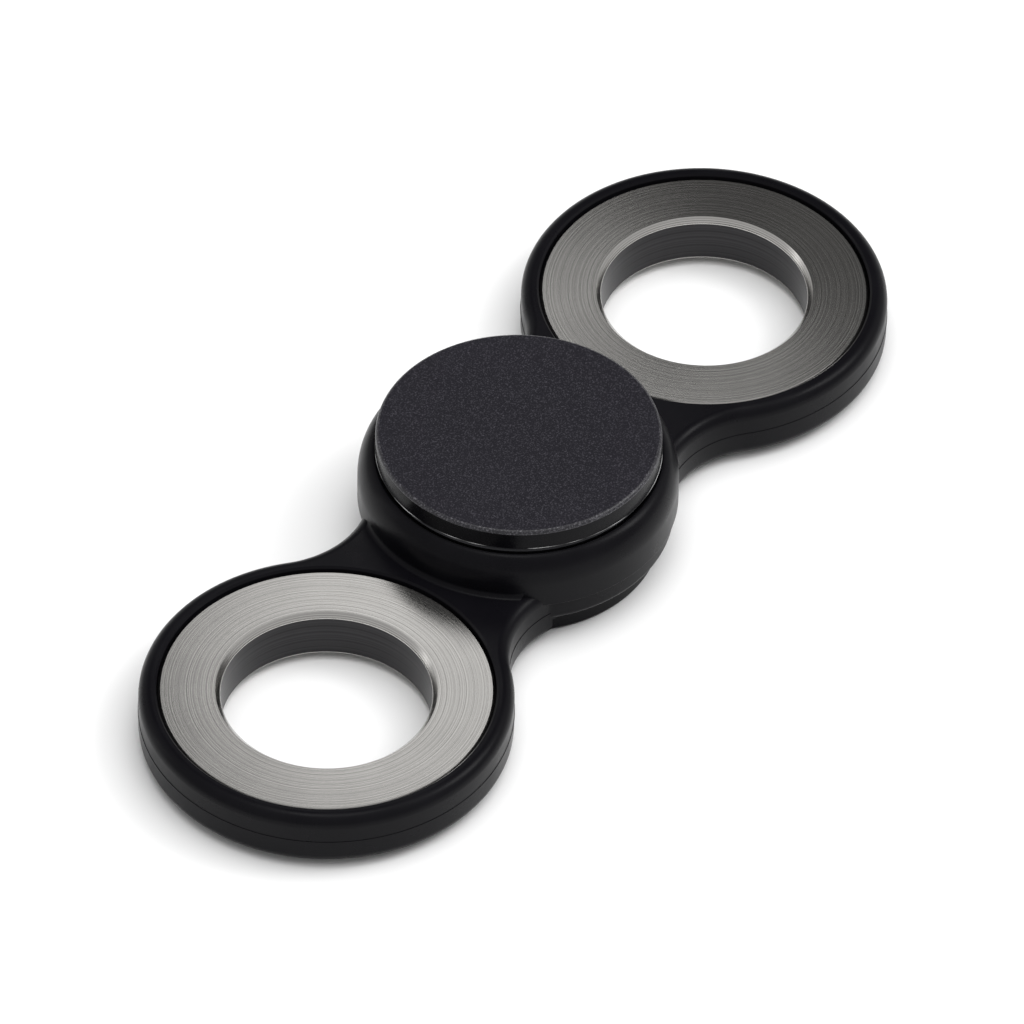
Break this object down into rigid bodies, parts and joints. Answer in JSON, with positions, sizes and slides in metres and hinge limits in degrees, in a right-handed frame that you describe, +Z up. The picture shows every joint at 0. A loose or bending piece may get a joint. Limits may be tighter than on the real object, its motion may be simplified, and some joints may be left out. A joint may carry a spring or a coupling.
{
  "type": "fidget spinner",
  "caption": "Flat two-armed spinner: dark moulded frame with an open steel ring pressed in each arm, turning on a ball bearing between round finger pads.",
  "frame": {"origin": "centre of the lower finger pad's outer face, which the spinner rests on", "axes": "+Z up along the spin axis towards the upper pad, +X along the arms"},
  "size_m": [0.083, 0.029, 0.011],
  "materials": {
    "frame_plastic": "satin moulded black plastic",
    "pad_plastic": "fine spark-textured charcoal plastic",
    "weight_steel": "turned steel with circular lines",
    "race_steel": "ground bearing steel",
    "ball_steel": "polished steel",
    "cage_steel": "pressed sheet steel",
    "shield_steel": "pressed sheet steel"
  },
  "bodies": {
    "grip": {"upper_pad": "pad_plastic", "lower_pad": "pad_plastic", "bearing_inner_race": "race_steel"},
    "rotor": {"frame": "frame_plastic", "weight_ring_left": "weight_steel", "weight_ring_right": "weight_steel", "bearing_outer_race": "race_steel", "bearing_shield_upper": "shield_steel", "bearing_shield_lower": "shield_steel", "snap_ring_upper": "ball_steel", "snap_ring_lower": "ball_steel"},
    "cage": {"bearing_cage_upper": "cage_steel", "bearing_cage_lower": "cage_steel", "bearing_cage_rivet_1": "cage_steel", "bearing_cage_rivet_2": "cage_steel", "bearing_cage_rivet_3": "cage_steel", "bearing_cage_rivet_4": "cage_steel", "bearing_cage_rivet_5": "cage_steel", "bearing_cage_rivet_6": "cage_steel", "bearing_cage_rivet_7": "cage_steel"},
    "ball_1": {"bearing_ball_1": "ball_steel"},
    "ball_2": {"bearing_ball_2": "ball_steel"},
    "ball_3": {"bearing_ball_3": "ball_steel"},
    "ball_4": {"bearing_ball_4": "ball_steel"},
    "ball_5": {"bearing_ball_5": "ball_steel"},
    "ball_6": {"bearing_ball_6": "ball_steel"},
    "ball_7": {"bearing_ball_7": "ball_steel"}
  },
  "joints": [
    {"name": "rotor_spin", "type": "hinge", "parent": "grip", "child": "rotor", "pos_m": [0, 0, 0.0055], "axis": [0, 0, 1], "continuous": true},
    {"name": "cage_spin", "type": "hinge", "parent": "grip", "child": "cage", "pos_m": [0, 0, 0.0055], "axis": [0, 0, 1], "continuous": true},
    {"name": "ball_1_roll", "type": "hinge", "parent": "cage", "child": "ball_1", "pos_m": [0.0075, 0, 0.0055], "axis": [0, 0, 1], "continuous": true},
    {"name": "ball_2_roll", "type": "hinge", "parent": "cage", "child": "ball_2", "pos_m": [0.00468, 0.00586, 0.0055], "axis": [0, 0, 1], "continuous": true},
    {"name": "ball_3_roll", "type": "hinge", "parent": "cage", "child": "ball_3", "pos_m": [-0.00167, 0.00731, 0.0055], "axis": [0, 0, 1], "continuous": true},
    {"name": "ball_4_roll", "type": "hinge", "parent": "cage", "child": "ball_4", "pos_m": [-0.00676, 0.00325, 0.0055], "axis": [0, 0, 1], "continuous": true},
    {"name": "ball_5_roll", "type": "hinge", "parent": "cage", "child": "ball_5", "pos_m": [-0.00676, -0.00325, 0.0055], "axis": [0, 0, 1], "continuous": true},
    {"name": "ball_6_roll", "type": "hinge", "parent": "cage", "child": "ball_6", "pos_m": [-0.00167, -0.00731, 0.0055], "axis": [0, 0, 1], "continuous": true},
    {"name": "ball_7_roll", "type": "hinge", "parent": "cage", "child": "ball_7", "pos_m": [0.00468, -0.00586, 0.0055], "axis": [0, 0, 1], "continuous": true}
  ],
  "couplings": [
    {"joint": "cage_spin", "follows": "rotor_spin", "ratio": 0.6323},
    {"joint": "ball_1_roll", "follows": "rotor_spin", "ratio": 1.7573},
    {"joint": "ball_2_roll", "follows": "rotor_spin", "ratio": 1.7573},
    {"joint": "ball_3_roll", "follows": "rotor_spin", "ratio": 1.7573},
    {"joint": "ball_4_roll", "follows": "rotor_spin", "ratio": 1.7573},
    {"joint": "ball_5_roll", "follows": "rotor_spin", "ratio": 1.7573},
    {"joint": "ball_6_roll", "follows": "rotor_spin", "ratio": 1.7573},
    {"joint": "ball_7_roll", "follows": "rotor_spin", "ratio": 1.7573}
  ]
}
